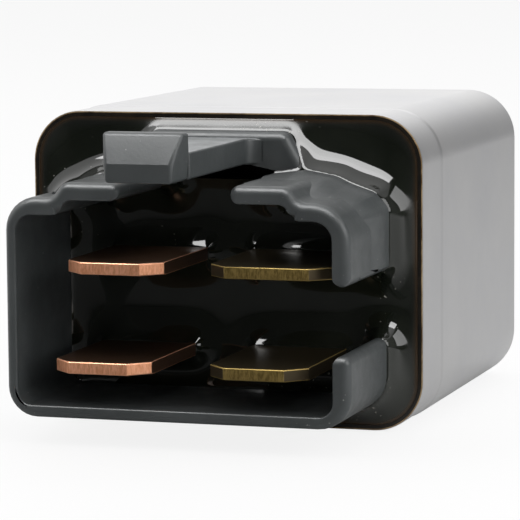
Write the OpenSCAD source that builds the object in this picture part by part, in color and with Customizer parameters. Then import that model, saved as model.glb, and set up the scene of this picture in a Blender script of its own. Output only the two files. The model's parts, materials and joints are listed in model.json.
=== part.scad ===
// Sealed four-terminal automotive relay with an integral connector shroud.
// The relay lies on the long side of its can, with the terminals towards -Y.
// X is across, Y runs from the connector to the closed end, Z is up, in millimetres.
// Every module draws in a working frame whose zero is the centre of the can's mouth;
// seat() then puts that frame on the resting surface, with the overall length centred.

/* [Can] */
// Width of the drawn can
can_w = 26.2; // [24:0.1:30]
// Height of the drawn can as it lies
can_h = 20.2; // [20:0.1:24]
// Depth of the can from mouth to closed end
can_d = 26.4; // [26:0.1:32]
// Thickness of the can's wall
can_wall = 0.35; // [0.3:0.05:0.5]
// Radius of the can's long corners
corner_r = 3.3; // [2.6:0.1:4]
// Radius round the edge of the closed end
end_r = 1.2; // [0.8:0.1:1.3]
// Depth of the slightly narrower band at the mouth
band_d = 4.7; // [4:0.1:6]
// How far that band is set in on each side
band_step = 0.07; // [0.05:0.01:0.2]

/* [Potting] */
// Depth of the resin surface below the rim
resin_recess = 0.3; // [0.1:0.05:0.8]
// Thickness of the resin over the base
resin_t = 3; // [2:0.1:3.2]

/* [Connector shroud] */
// Thickness of the base that carries the works
base_t = 1.5; // [1.2:0.1:2]
// Clearance between the base and the can
base_gap = 0.1; // [0.05:0.01:0.2]
// Width of the resin between the shroud's sides and the can
shroud_margin = 1.58; // [1.3:0.01:1.8]
// Reach of the shroud in front of the rim
shroud_reach = 10.1; // [8:0.1:12]
// Height of the shroud's underside over the resting surface
shroud_lift = 1.7; // [1.4:0.05:1.9]
// Left wall
wall_left = 0.75; // [0.6:0.05:1]
// Right wall
wall_right = 1.1; // [0.8:0.05:1.2]
// Bottom wall
wall_bottom = 0.8; // [0.6:0.05:1]
// Top wall
wall_top = 1.1; // [0.8:0.05:1.2]
// Radius of the shroud's outer corners
shroud_r = 2.1; // [1.2:0.1:2.4]
// Radius of the shroud's inner corners
shroud_inner_r = 1; // [0.5:0.1:1.1]
// Width of the raised middle of the top wall
crown_w = 15.3; // [14.6:0.1:15.6]
// Radius of the raised part's shoulder
crown_r = 0.5; // [0.4:0.05:0.6]
// Radius of the hollow at its foot
crown_toe_r = 0.45; // [0.35:0.05:0.5]
// How much narrower the raised part is inside than outside, on each side
crown_inset = 0.25; // [0.1:0.05:0.4]
// Width of the gap in the top wall under the latch
gap_w = 7.1; // [6.6:0.1:7.4]
// Height of the slot through the right wall
window_h = 4.15; // [4.1:0.01:4.4]
// Height of the slot's lower edge over the lower blades' mid-plane
window_lift = 1.32; // [1.2:0.02:1.5]

/* [Latch] */
// Reach of the latch in front of the rim
latch_reach = 16.3; // [15:0.1:18]
// Width of the latch arm
arm_w = 4.2; // [3.6:0.1:5]
// Thickness of the latch arm
arm_t = 1.65; // [1.2:0.05:1.8]
// Gap between the raised wall's top and the arm's underside
arm_lift = 0.6; // [0.5:0.05:0.8]
// Clearance between the arm's top and the can
arch_margin = 1.13; // [0.8:0.01:1.4]
// Height of the blunt nose
nose_h = 1.15; // [0.9:0.05:1.2]
// Length of the ramp behind the nose
ramp_l = 1.3; // [1:0.1:2]
// Length of the flat land behind the ramp
land_l = 0.6; // [0.4:0.1:2]
// Height of the catch over the arm
catch_h = 1.3; // [0.8:0.05:1.4]
// Length of the slope down the head's back
catch_slope = 1.9; // [0.3:0.1:2.2]
// Extra width of the head's top on each side
head_flare = 0.45; // [0.1:0.05:0.6]
// Width of the arch that carries the arm
arch_w = 7.2; // [6.8:0.1:7.4]
// How far the arch stands out of the resin
arch_reach = 1.5; // [1:0.1:2]
// Radius of the arch's outer shoulders
arch_r = 1.2; // [0.8:0.1:1.5]
// Radius of the hollow where the arch meets the top wall
arch_toe_r = 1; // [0.6:0.1:1.2]
// Width of the tunnel under the arch
tunnel_w = 5.9; // [5.4:0.1:6.2]
// Radius of the arm's fillets into the arch
arm_root_r = 0.9; // [0.5:0.1:1]

/* [Terminals] */
// Width of a standard blade
blade_w = 6.3; // [6:0.1:6.4]
// Width of the one wide blade, upper right
wide_blade_w = 7.8; // [7.4:0.1:7.8]
// Thickness of the blade stock
blade_t = 0.8; // [0.7:0.05:0.9]
// Chamfer at the blades' tip corners
tip_chamfer = 1.22; // [0.8:0.02:1.4]
// Length of the lead-in bevel round the tips
bevel_l = 0.2; // [0.1:0.05:0.7]
// Depth of that bevel on each face
bevel_t = 0.05; // [0.05:0.01:0.25]
// How far the tips stop inside the shroud's mouth
tip_recess = 0; // [0:0.1:1]
// Height of the lower row's mid-plane over the shroud's underside
lower_row = 3.23; // [3:0.01:3.4]
// Distance between the two rows
row_pitch = 6.2; // [6.1:0.05:6.4]
// Offset of the lower blades to each side of the middle
lower_offset = 5.04; // [4.8:0.02:5.2]
// Offset of the upper left blade
upper_left_offset = 4.16; // [4:0.02:4.4]
// Clearance between the upper right blade and the right wall
blade_wall_gap = 0.2; // [0.1:0.02:0.4]
// Width of the coil terminals' inner posts
post_w = 1.4; // [1:0.1:1.6]
// Distance of those posts from the can's inner wall
post_inset = 0.95; // [0.8:0.05:1.1]
// Clearance between those posts and the yoke
post_gap = 0.6; // [0.5:0.05:0.7]
// Length of those posts above the base
post_l = 4.2; // [3.6:0.1:5]

/* [Coil] */
// Diameter of the core's riveted spigot
spigot_d = 4.5; // [4:0.1:5]
// Diameter of the pole face
pole_d = 9.5; // [9:0.1:10]
// Thickness of the pole head
pole_t = 1; // [0.8:0.1:1.2]
// Clearance between the rest stop and the can's closed end
end_gap = 0.4; // [0.3:0.05:0.6]
// Wall of the bobbin's tube
bobbin_wall = 0.7; // [0.6:0.05:0.9]
// Thickness of the bobbin's flanges
flange_t = 0.9; // [0.8:0.1:1.2]
// Clearance between the flanges and the contact posts
flange_gap = 1.05; // [0.9:0.05:1.2]
// Height of the flanges
flange_h = 15; // [14:0.1:16]
// Radius of the flanges' corners
flange_r = 1; // [0.5:0.1:1.5]
// How far the winding stops inside the flanges' sides
winding_margin = 0.35; // [0.2:0.05:0.6]
// Depth of the winding from the bobbin's tube outwards
winding_depth = 2.23; // [1.8:0.01:2.4]
// Thickness of the tape round the winding
tape_t = 0.1; // [0.05:0.01:0.15]
// Diameter of the coil's lead wires
lead_d = 0.3; // [0.2:0.05:0.4]
// Running gap between parts that fit round each other
fit_gap = 0.02; // [0.01:0.01:0.04]

/* [Frame and armature] */
// Thickness of the yoke
yoke_t = 1.5; // [1.3:0.1:1.6]
// Height of the yoke and the armature
yoke_h = 12; // [11:0.1:12.4]
// Inside radius of the yoke's bend
yoke_bend_r = 0.4; // [0.3:0.05:0.6]
// How far the yoke's foot stops inside the pole's width
yoke_short = 0.15; // [0:0.05:0.3]
// Distance of the outer rivet stake from the armature's end of the yoke
stake_back = 3.5; // [3:0.1:4]
// Distance between the two stakes
stake_pitch = 3; // [2.8:0.1:3.4]
// Diameter of the stakes
stake_d = 1.4; // [1.2:0.1:1.6]
// Height of the stakes
stake_h = 0.6; // [0.5:0.05:0.7]
// Gap between the bobbin and the yoke's leg
yoke_gap = 0.35; // [0.3:0.05:0.5]
// Thickness of the armature
armature_t = 1.5; // [1.3:0.1:1.6]
// Working gap at the pole, measured at rest
pole_gap = 0.65; // [0.62:0.01:0.8]
// Gap left at the hinge edge
hinge_gap = 0.05; // [0.04:0.01:0.1]
// How far the armature passes the pole
armature_over = 0.8; // [0.5:0.1:1]
// Radius of the armature's and the springs' free corners
armature_r = 1; // [0.6:0.1:1.2]
// How far the armature's heel stops short of the yoke's outer face
heel_back = 0.2; // [0.15:0.05:0.3]
// Thickness of the contact spring
spring_t = 0.2; // [0.15:0.01:0.25]
// Width of the contact spring over the armature
spring_w = 10.4; // [9:0.1:10.6]
// Width of the contact spring at the contact
spring_tip_w = 4.4; // [4:0.1:5]
// How far the spring's wide part stays inside the armature's free end
spring_inset = 0.6; // [0.4:0.1:0.8]
// Distance of the spring's hinge end from the yoke's leg
spring_short = 1.9; // [1.6:0.1:2.2]
// Diameter of the armature's rivets
rivet_d = 1.6; // [1.4:0.1:1.8]
// Diameter of their heads
rivet_head_d = 2.6; // [2.2:0.1:2.8]
// Distance of those rivets above and below the middle
rivet_offset = 3; // [2.8:0.1:3.2]
// Distance of those rivets from the coil's axis
rivet_shift = 1.2; // [0.8:0.1:1.6]
// Thickness of the return spring
return_t = 0.25; // [0.2:0.01:0.3]
// Width of the return spring
return_w = 4.4; // [3:0.1:4.6]
// Gap between the return spring and the heel
return_gap = 0.15; // [0.12:0.01:0.2]

/* [Contacts] */
// Width of the contact posts
carrier_w = 4; // [3.6:0.1:4.2]
// Distance of the contact posts from the can's inner wall
carrier_inset = 2.15; // [1.9:0.05:2.3]
// Gap between the contacts at rest
contact_gap = 0.87; // [0.86:0.01:1]
// Diameter of the contacts
contact_d = 3.2; // [2.8:0.1:3.4]
// Height of the moving contact's face below its spring
moving_h = 1.6; // [1.4:0.1:1.8]
// Height of the fixed contact over its tab
fixed_h = 0.9; // [0.7:0.1:1.1]
// Diameter of the contacts' shanks
shank_d = 1.4; // [1.2:0.1:1.6]
// Thickness of the rivets' heads
head_t = 0.35; // [0.3:0.05:0.4]
// Overlap of the upset heads round their holes
head_lip = 0.4; // [0.3:0.05:0.5]
// Thickness of the rest stop
stop_t = 0.6; // [0.5:0.05:0.6]
// Height of the rest stop's post over the middle
stop_offset = 5.2; // [5:0.1:5.6]
// Gap between the rest stop and the moving contact
stop_gap = 0.05; // [0.04:0.01:0.1]
// Width of the copper braid
braid_w = 2.4; // [2:0.1:2.6]
// Thickness of the copper braid
braid_t = 0.6; // [0.5:0.05:0.65]

/* [Hidden] */
$fn = 64;
far = 100; // reach of cutting tools that have no size of their own
over = 1; // how far a cutting tool stands clear of what it cuts

// Where the working frame sits: the overall length is centred on the origin
mouth_y = (latch_reach - can_d) / 2;

// Inside of the can, and the stack of layers behind the rim
band_in_w = can_w - 2 * (band_step + can_wall);
band_in_h = can_h - 2 * (band_step + can_wall);
in_x = can_w / 2 - can_wall;
base_front = resin_recess + resin_t;
base_back = base_front + base_t;

// Shroud, from the resting side up and from the can's top down
shroud_w = band_in_w - 2 * shroud_margin;
shroud_front = -shroud_reach;
floor_z = shroud_lift - can_h / 2;
arm_top = band_in_h / 2 - arch_margin;
arm_z = arm_top - arm_t;
crown_z = arm_z - arm_lift;
flank_z = crown_z - crown_r - crown_toe_r;
arch_front = resin_recess - arch_reach;

// Blades
lower_z = floor_z + lower_row;
upper_z = lower_z + row_pitch;
tip_y = shroud_front + tip_recess;
window_z = lower_z + window_lift;
upper_right_offset = shroud_w / 2 - wall_right - blade_wall_gap - wide_blade_w / 2;
lug_cover = 0.3;
blade_end = base_back - lug_cover;
post_x = in_x - post_inset - post_w;
carrier_x = -in_x + carrier_inset;
shoulder_l = 2.2;
shoulder_gap = 0.3;

// Coil and frame, from the base to the armature
yoke_back = base_back + yoke_t;
stop_back = can_d - can_wall - end_gap;
spring_back = stop_back - stop_t - stop_gap - head_t;
armature_back = spring_back - spring_t;
armature_y = armature_back - armature_t;
pole_face = armature_y - pole_gap;
bobbin_back = pole_face - pole_t;
bobbin_l = bobbin_back - yoke_back;
yoke_end = armature_y - hinge_gap;
leg_back = post_x - post_gap;
leg_x = leg_back - yoke_t;
flange_w = leg_x - yoke_gap - (carrier_x + carrier_w + flange_gap);
coil_x = leg_x - yoke_gap - flange_w / 2;
yoke_left = coil_x - pole_d / 2 + yoke_short;
armature_left = coil_x - pole_d / 2 - armature_over;
armature_right = leg_back - heel_back;
winding_d = flange_w - 2 * winding_margin;
tube_d = winding_d - 2 * winding_depth;
core_d = tube_d - 2 * (fit_gap + bobbin_wall);
winding_front = yoke_back + flange_t;
winding_back = bobbin_back - flange_t;

// Contacts
contact_x = carrier_x + carrier_w / 2;
moving_face = armature_back - moving_h;
fixed_face = moving_face - contact_gap;
tab_back = fixed_face - fixed_h;
tab_cover = 0.6;
stop_foot = 0.4;
rivet_x = coil_x - rivet_shift;
stake_rows = [bobbin_back - stake_back - stake_pitch, bobbin_back - stake_back];

// Layers of the springs round the hinge
return_bend = 0.5;
return_arm = 2;
return_foot = 1.3;
braid_gap = 0.4;
braid_z = return_w / 2 + braid_gap;
braid_cover = 3.6;
braid_end = leg_x - braid_cover;

module seat() {
    translate([0, mouth_y, can_h / 2]) children();
}

// An outline seen from the front (x, z), given depth from one y to another
module deep(from, to) {
    translate([0, to, 0]) rotate([90, 0, 0]) linear_extrude(to - from) children();
}

// An outline seen from the side (y, z), given width from one x to another
module across(from, to) {
    translate([from, 0, 0]) rotate([90, 0, 90]) linear_extrude(to - from) children();
}

// An outline seen from above (x, y), given thickness about a height
module sheet(z, t) {
    translate([0, 0, z - t / 2]) linear_extrude(t) children();
}

// A rectangle between two corners
module span(x0, x1, y0, y1) {
    translate([x0, y0]) square([x1 - x0, y1 - y0]);
}

module rounded_span(x0, x1, y0, y1, r) {
    span(x0, x1, y0 + r, y1 - r);
    span(x0 + r, x1 - r, y0, y1);
    for (x = [x0 + r, x1 - r], y = [y0 + r, y1 - r])
        translate([x, y]) circle(r);
}

module rounded_rect(w, h, r) {
    rounded_span(-w / 2, w / 2, -h / 2, h / 2, r);
}

// A drawn box, open end at y = from: round long corners and a round edge at the far end
module drawn_block(w, h, from, to, r, edge) {
    len = to - from;
    module domed(half, len) {
        span(-half, half, 0, len - edge);
        span(-half + edge, half - edge, 0, len);
        for (s = [-1, 1]) translate([s * (half - edge), len - edge]) circle(edge);
    }
    translate([0, from, 0]) {
        for (x = [-1, 1], z = [-1, 1])
            translate([x * (w / 2 - r), 0, z * (h / 2 - r)]) rotate([-90, 0, 0])
                rotate_extrude() intersection() {
                    domed(r, len);
                    square([far, far]);
                }
        sheet(0, h - 2 * r) domed(w / 2, len);
        across(-w / 2 + r, w / 2 - r) rotate(-90) domed(h / 2, len);
    }
}

module can() {
    color([0.72, 0.72, 0.72]) seat() difference() {
        union() {
            drawn_block(can_w, can_h, band_d, can_d, corner_r, end_r);
            deep(0, band_d) rounded_rect(can_w - 2 * band_step, can_h - 2 * band_step, corner_r - band_step);
        }
        drawn_block(can_w - 2 * can_wall, can_h - 2 * can_wall, band_d + can_wall,
                    can_d - can_wall, corner_r - can_wall, end_r - can_wall);
        deep(-over, band_d + can_wall) rounded_rect(band_in_w, band_in_h, corner_r - band_step - can_wall);
    }
}

// The shroud's outline: a round-cornered box whose top wall steps up in the middle
module shroud_section(left, right, bottom, top, r, side, shoulder, toe) {
    low = flank_z - top;
    high = crown_z - top;
    half = crown_w / 2 - side;
    rounded_span(-shroud_w / 2 + left, shroud_w / 2 - right, floor_z + bottom, low, r);
    span(-half, half, low - r, high - shoulder);
    span(-half + shoulder, half - shoulder, low, high);
    for (s = [-1, 1]) {
        translate([s * (half - shoulder), high - shoulder]) circle(shoulder);
        difference() {
            translate([s * (half + toe / 2), low + toe / 2]) square(toe, center = true);
            translate([s * (half + toe), low + toe]) circle(toe);
        }
    }
}

module shroud_walls() {
    deep(shroud_front, base_front) difference() {
        shroud_section(0, 0, 0, 0, shroud_r, 0, crown_r, crown_toe_r);
        shroud_section(wall_left, wall_right, wall_bottom, wall_top, shroud_inner_r,
                       crown_inset, crown_r, crown_toe_r);
        span(-gap_w / 2, gap_w / 2, flank_z - wall_top - crown_r, crown_z + crown_r);
        span(shroud_w / 2 - wall_right - shroud_inner_r, shroud_w / 2 + over, window_z, window_z + window_h);
    }
}

// The arch bridges the gap at the resin and carries the arm
module arch() {
    deep(arch_front, base_front) difference() {
        union() {
            rounded_span(-arch_w / 2, arch_w / 2, flank_z - wall_top, arm_top, arch_r);
            for (s = [-1, 1]) difference() {
                translate([s * (arch_w + arch_toe_r) / 2, crown_z + arch_toe_r / 2 - wall_top / 2])
                    square([arch_toe_r, arch_toe_r + wall_top], center = true);
                translate([s * (arch_w / 2 + arch_toe_r), crown_z + arch_toe_r]) circle(arch_toe_r);
            }
        }
        rounded_span(-tunnel_w / 2, tunnel_w / 2, floor_z + wall_bottom, arm_z, shroud_inner_r);
    }
}

module latch() {
    nose_top = arm_z + nose_h;
    head_top = arm_top + catch_h;
    ramp_end = -latch_reach + ramp_l;
    land_end = ramp_end + land_l;
    catch_y = land_end + catch_slope;
    // arm, with fillets in plan where it leaves the arch
    sheet(arm_z + arm_t / 2, arm_t) {
        span(-arm_w / 2, arm_w / 2, catch_y, arch_front + arm_root_r);
        for (s = [-1, 1]) difference() {
            translate([s * (arm_w + arm_root_r) / 2, arch_front - arm_root_r / 2])
                square(arm_root_r, center = true);
            translate([s * (arm_w / 2 + arm_root_r), arch_front - arm_root_r]) circle(arm_root_r);
        }
    }
    // head: the side profile cut to the flared front profile
    intersection() {
        across(-arm_w, arm_w) polygon([
            [-latch_reach, arm_z], [-latch_reach, nose_top], [ramp_end, head_top],
            [land_end, head_top], [catch_y, arm_top], [catch_y, arm_z]
        ]);
        deep(-latch_reach - over, catch_y + over) polygon([
            [-arm_w / 2, arm_z], [-arm_w / 2, nose_top], [-arm_w / 2 - head_flare, head_top],
            [arm_w / 2 + head_flare, head_top], [arm_w / 2, nose_top], [arm_w / 2, arm_z]
        ]);
    }
}

module connector_shape() {
    deep(base_front, base_back)
        rounded_rect(band_in_w - 2 * base_gap, band_in_h - 2 * base_gap, corner_r - band_step - can_wall - base_gap);
    shroud_walls();
    arch();
    latch();
}

module connector_shroud() {
    color([0.20, 0.22, 0.23]) seat() difference() {
        connector_shape();
        terminal_shapes();
        rest_stop_shape();
    }
}

module potting_resin() {
    color([0.03, 0.03, 0.03]) seat() difference() {
        deep(resin_recess, base_front) rounded_rect(band_in_w, band_in_h, corner_r - band_step - can_wall);
        shroud_walls();
        arch();
        terminal_shapes();
    }
}

// A blade with chamfered corners and a lead-in bevel on its three front edges
module blade(x, z, w) {
    intersection() {
        sheet(z, blade_t) polygon([
            [x - w / 2, blade_end], [x - w / 2, tip_y + tip_chamfer], [x - w / 2 + tip_chamfer, tip_y],
            [x + w / 2 - tip_chamfer, tip_y], [x + w / 2, tip_y + tip_chamfer], [x + w / 2, blade_end]
        ]);
        translate([x, tip_y, z]) bevelled(w);
    }
}

// Everything behind the three bevelled front edges of a blade whose tip is at the origin
module bevelled(w) {
    intersection_for (turn = [-45, 0, 45]) {
        shift = turn == 0 ? [0, 0] : [sign(turn) * (w / 2 - tip_chamfer), 0];
        translate(concat(shift, [0])) rotate([0, 0, turn])
            across(-far, far) polygon([
                [0, bevel_t - blade_t / 2], [bevel_l, -blade_t / 2 - 0.01], [far, -blade_t / 2 - 0.01],
                [far, blade_t / 2 + 0.01], [bevel_l, blade_t / 2 + 0.01], [0, blade_t / 2 - bevel_t]
            ]);
    }
}

// Post and tab that carry the fixed contact, on the lower load terminal
module load_lower_shape() {
    x = -lower_offset;
    shoulder_x = coil_x - flange_w / 2 - shoulder_gap;
    blade(x, lower_z, blade_w);
    sheet(lower_z, blade_t) {
        span(x - blade_w / 2, shoulder_x, blade_end, base_back + shoulder_l);
        span(carrier_x, shoulder_x, base_back, base_back + shoulder_l);
        span(carrier_x, carrier_x + carrier_w, base_back, tab_back);
    }
    deep(tab_back - blade_t, tab_back)
        span(carrier_x, carrier_x + carrier_w, lower_z - blade_t / 2, contact_d / 2 + tab_cover);
}

// The upper load terminal is butt-welded to the yoke
module load_upper_shape() {
    x = -upper_left_offset;
    blade(x, upper_z, blade_w);
    sheet(upper_z, blade_t) span(x - blade_w / 2, yoke_left, blade_end, yoke_back);
}

// A coil terminal turns aside inside the base and rises beside the yoke
module coil_shape(x, z, w) {
    blade(x, z, w);
    sheet(z, blade_t) {
        span(x, post_x + post_w, blade_end - post_w / 2, blade_end);
        span(post_x, post_x + post_w, blade_end - post_w / 2, base_back + post_l);
    }
}

module terminal_shapes() {
    load_lower_shape();
    load_upper_shape();
    coil_shape(lower_offset, lower_z, blade_w);
    coil_shape(upper_right_offset, upper_z, wide_blade_w);
}

module load_terminal_lower() {
    color([0.78, 0.47, 0.36]) seat() difference() {
        load_lower_shape();
        round_hole(contact_x, 0, tab_back - blade_t - over, tab_back + over, shank_d + 2 * fit_gap);
    }
}

module load_terminal_upper() {
    color([0.78, 0.47, 0.36]) seat() load_upper_shape();
}

module coil_terminal_lower() {
    color([0.78, 0.65, 0.36]) seat() coil_shape(lower_offset, lower_z, blade_w);
}

module coil_terminal_upper() {
    color([0.78, 0.65, 0.36]) seat() coil_shape(upper_right_offset, upper_z, wide_blade_w);
}

// A round body along Y between two depths
module round_bar(x, z, from, to, d) {
    translate([x, from, z]) rotate([-90, 0, 0]) cylinder(d = d, h = to - from);
}

module round_hole(x, z, from, to, d) {
    round_bar(x, z, from, to, d);
}

module yoke() {
    color([0.55, 0.56, 0.58]) seat() difference() {
        union() {
            sheet(0, yoke_h) {
                span(yoke_left, leg_x - yoke_bend_r, base_back, yoke_back);
                span(leg_x, leg_back, yoke_back + yoke_bend_r, yoke_end);
                translate([leg_x - yoke_bend_r, yoke_back + yoke_bend_r]) intersection() {
                    difference() {
                        circle(yoke_bend_r + yoke_t);
                        circle(yoke_bend_r);
                    }
                    span(0, far, -far, 0);
                }
            }
            for (y = stake_rows) translate([leg_back, y, 0]) rotate([0, 90, 0]) cylinder(d = stake_d, h = stake_h);
        }
        round_hole(coil_x, 0, base_back - over, yoke_back + over, spigot_d + 2 * fit_gap);
    }
}

module core() {
    chamfer = 0.3;
    color([0.62, 0.63, 0.64]) seat() translate([coil_x, base_back, 0]) rotate([-90, 0, 0])
        rotate_extrude() polygon([
            [0, fit_gap], [spigot_d / 2, fit_gap], [spigot_d / 2, yoke_t], [core_d / 2, yoke_t],
            [core_d / 2, yoke_t + bobbin_l], [pole_d / 2, yoke_t + bobbin_l],
            [pole_d / 2, yoke_t + bobbin_l + pole_t - chamfer],
            [pole_d / 2 - chamfer, yoke_t + bobbin_l + pole_t], [0, yoke_t + bobbin_l + pole_t]
        ]);
}

module bobbin() {
    color([0.85, 0.83, 0.76]) seat() difference() {
        union() {
            for (y = [yoke_back, winding_back]) deep(y, y + flange_t)
                rounded_span(coil_x - flange_w / 2, coil_x + flange_w / 2, -flange_h / 2, flange_h / 2, flange_r);
            round_bar(coil_x, 0, yoke_back, bobbin_back, tube_d);
        }
        round_hole(coil_x, 0, yoke_back - over, bobbin_back + over, core_d + 2 * fit_gap);
    }
}

// A ring round the coil's axis between two depths
module ring(from, to, d_in, d_out) {
    difference() {
        round_bar(coil_x, 0, from, to, d_out);
        round_hole(coil_x, 0, from - over, to + over, d_in);
    }
}

module winding() {
    color([0.62, 0.28, 0.12]) seat() ring(winding_front, winding_back, tube_d, winding_d);
}

module winding_tape() {
    color([0.78, 0.68, 0.30]) seat() ring(winding_front, winding_back, winding_d, winding_d + 2 * tape_t);
}

// A thin wire through a list of points
module wire(points) {
    for (i = [0 : len(points) - 2]) hull()
        for (end = [i, i + 1]) translate(points[end]) sphere(d = lead_d, $fn = 16);
}

// A lead leaves the winding, passes the yoke's edge and ends on its post
module coil_lead(side, z, y) {
    post_mid = post_x + post_w / 2;
    wire([
        [coil_x + core_d / 8, y, side * (winding_d / 2 + tape_t + lead_d / 2)],
        [leg_x - yoke_t / 2, y, side * (yoke_h / 2 + 3 * lead_d)],
        [post_x, y, side * (yoke_h / 2 + 3 * lead_d)],
        [post_mid, y, z + side * (blade_t + lead_d) / 2]
    ]);
}

module coil_lead_lower() {
    color([0.62, 0.28, 0.12]) seat() coil_lead(-1, lower_z, winding_front + lead_d);
}

module coil_lead_upper() {
    color([0.62, 0.28, 0.12]) seat() coil_lead(1, upper_z, winding_front + 2 * lead_d);
}

// The armature stands on the yoke's end edge and closes on the pole
module armature() {
    color([0.58, 0.59, 0.60]) seat() difference() {
        deep(armature_y, armature_back) {
            rounded_span(armature_left, leg_x, -yoke_h / 2, yoke_h / 2, armature_r);
            span(leg_x - yoke_t, armature_right, -yoke_h / 2, yoke_h / 2);
        }
        for (s = [-1, 1])
            round_hole(rivet_x, s * rivet_offset, armature_y - over, armature_back + over, rivet_d + 2 * fit_gap);
    }
}

module contact_spring() {
    color([0.80, 0.55, 0.33]) seat() difference() {
        deep(armature_back, spring_back) {
            rounded_span(armature_left + spring_inset, leg_x - spring_short, -spring_w / 2, spring_w / 2, armature_r);
            rounded_span(contact_x - spring_tip_w / 2, rivet_x, -spring_tip_w / 2, spring_tip_w / 2, armature_r);
        }
        for (s = [-1, 1])
            round_hole(rivet_x, s * rivet_offset, armature_y, spring_back + over, rivet_d + 2 * fit_gap);
        round_hole(contact_x, 0, armature_y, spring_back + over, shank_d + 2 * fit_gap);
    }
}

module armature_rivets() {
    color([0.70, 0.71, 0.72]) seat() for (s = [-1, 1]) {
        round_bar(rivet_x, s * rivet_offset, armature_y, spring_back + head_t, rivet_d);
        round_bar(rivet_x, s * rivet_offset, spring_back, spring_back + head_t, rivet_head_d);
    }
}

// A contact rivet: crowned face, shank and a small upset head
module contact_rivet(face, seat_y, back) {
    way = sign(seat_y - face);
    crown = 0.25;
    crown_flat = contact_d / 3;
    upset_d = shank_d + 2 * head_lip;
    translate([contact_x, face, 0]) rotate([-90 * way, 0, 0]) rotate_extrude() polygon([
        [0, 0], [crown_flat, 0], [contact_d / 2, crown], [contact_d / 2, abs(seat_y - face)],
        [shank_d / 2, abs(seat_y - face)], [shank_d / 2, abs(back - face)],
        [upset_d / 2, abs(back - face)], [upset_d / 2, abs(back - face) + head_t],
        [0, abs(back - face) + head_t]
    ]);
}

module moving_contact() {
    color([0.86, 0.86, 0.84]) seat() contact_rivet(moving_face, armature_back, spring_back);
}

module fixed_contact() {
    color([0.86, 0.86, 0.84]) seat() contact_rivet(fixed_face, tab_back, tab_back - blade_t);
}

// The rest stop rises from the base and turns over the moving contact
module rest_stop_shape() {
    sheet(stop_offset, stop_t) span(carrier_x, carrier_x + carrier_w, base_front + stop_foot, stop_back);
    deep(stop_back - stop_t, stop_back) span(carrier_x, carrier_x + carrier_w, -contact_d / 2, stop_offset + stop_t / 2);
}

module rest_stop() {
    color([0.78, 0.65, 0.36]) seat() rest_stop_shape();
}

// A strip that lies on the yoke's leg and bends round over the hinge
module hinge_strip(t, foot, bend, top_y, reach) {
    span(leg_back, leg_back + t, foot, top_y - bend);
    span(reach, leg_back - bend, top_y, top_y + t);
    translate([leg_back - bend, top_y - bend]) intersection() {
        difference() {
            circle(bend + t);
            circle(bend);
        }
        square(far);
    }
}

module return_spring() {
    top_y = armature_back + return_gap;
    color([0.74, 0.60, 0.38]) seat() difference() {
        sheet(0, return_w)
            hinge_strip(return_t, stake_rows[0] - return_foot, return_bend, top_y, leg_back - return_arm);
        for (y = stake_rows) translate([leg_back - over, y, 0]) rotate([0, 90, 0])
            cylinder(d = stake_d + 2 * fit_gap, h = return_t + 2 * over);
    }
}

module shunt_braid() {
    color([0.72, 0.40, 0.25]) seat() sheet(braid_z + braid_w / 2, braid_w)
        hinge_strip(braid_t, stake_rows[1] - return_foot, return_bend, spring_back + fit_gap, braid_end);
}

can();
potting_resin();
connector_shroud();
load_terminal_lower();
load_terminal_upper();
coil_terminal_lower();
coil_terminal_upper();
yoke();
core();
bobbin();
winding();
winding_tape();
coil_lead_lower();
coil_lead_upper();
armature();
contact_spring();
armature_rivets();
moving_contact();
fixed_contact();
rest_stop();
return_spring();
shunt_braid();
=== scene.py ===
# %% [markdown]
# # A sealed automotive relay, seen from its connector end
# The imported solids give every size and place. This lesson dresses them: a satin drawn can, a
# moulded shroud with softened edges, a glossy potting resin that climbs every wall it wets, and
# rolled copper and brass blades. The solids that already have the right shape keep it and only
# get a finish.

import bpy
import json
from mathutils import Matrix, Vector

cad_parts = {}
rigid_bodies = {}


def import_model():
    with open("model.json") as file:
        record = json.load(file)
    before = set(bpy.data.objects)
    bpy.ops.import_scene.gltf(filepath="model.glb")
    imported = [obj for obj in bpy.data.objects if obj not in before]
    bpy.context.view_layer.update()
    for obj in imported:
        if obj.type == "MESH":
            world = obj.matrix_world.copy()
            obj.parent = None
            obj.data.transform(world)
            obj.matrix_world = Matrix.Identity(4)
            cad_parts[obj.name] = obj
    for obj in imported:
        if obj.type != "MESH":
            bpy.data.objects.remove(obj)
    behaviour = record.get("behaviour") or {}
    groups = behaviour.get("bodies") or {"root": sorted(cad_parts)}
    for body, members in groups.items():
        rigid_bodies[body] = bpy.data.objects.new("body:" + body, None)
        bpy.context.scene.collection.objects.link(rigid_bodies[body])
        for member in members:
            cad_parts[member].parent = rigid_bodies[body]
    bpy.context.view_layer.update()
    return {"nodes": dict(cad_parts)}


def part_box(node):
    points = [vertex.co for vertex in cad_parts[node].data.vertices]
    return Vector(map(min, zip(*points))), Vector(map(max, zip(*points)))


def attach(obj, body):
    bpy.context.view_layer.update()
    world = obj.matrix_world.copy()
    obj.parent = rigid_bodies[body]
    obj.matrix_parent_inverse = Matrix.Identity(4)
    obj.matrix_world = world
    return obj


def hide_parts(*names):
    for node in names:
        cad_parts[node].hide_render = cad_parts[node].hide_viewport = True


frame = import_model()

# %% [markdown]
# Blender works in metres and the relay in millimetres, so one factor turns one into the other.
# The can's mouth is the natural place to measure from, as the can, the resin and the shroud all
# meet there. Its centre comes from the can's own box.

# %% Units and the mouth of the can
import json
import math

import bmesh
import numpy as np
import bpy
from mathutils import Matrix, Vector, noise

MM = 0.001
CAN_LOW, CAN_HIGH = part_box("can")
MOUTH = Vector((0, CAN_LOW.y, (CAN_LOW.z + CAN_HIGH.z) / 2))


def at(x, y, z):
    """A point given in millimetres from the centre of the can's mouth."""
    return MOUTH + Vector((x, y, z)) * MM


print("Centre of the mouth:", tuple(round(c, 5) for c in MOUTH))

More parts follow.
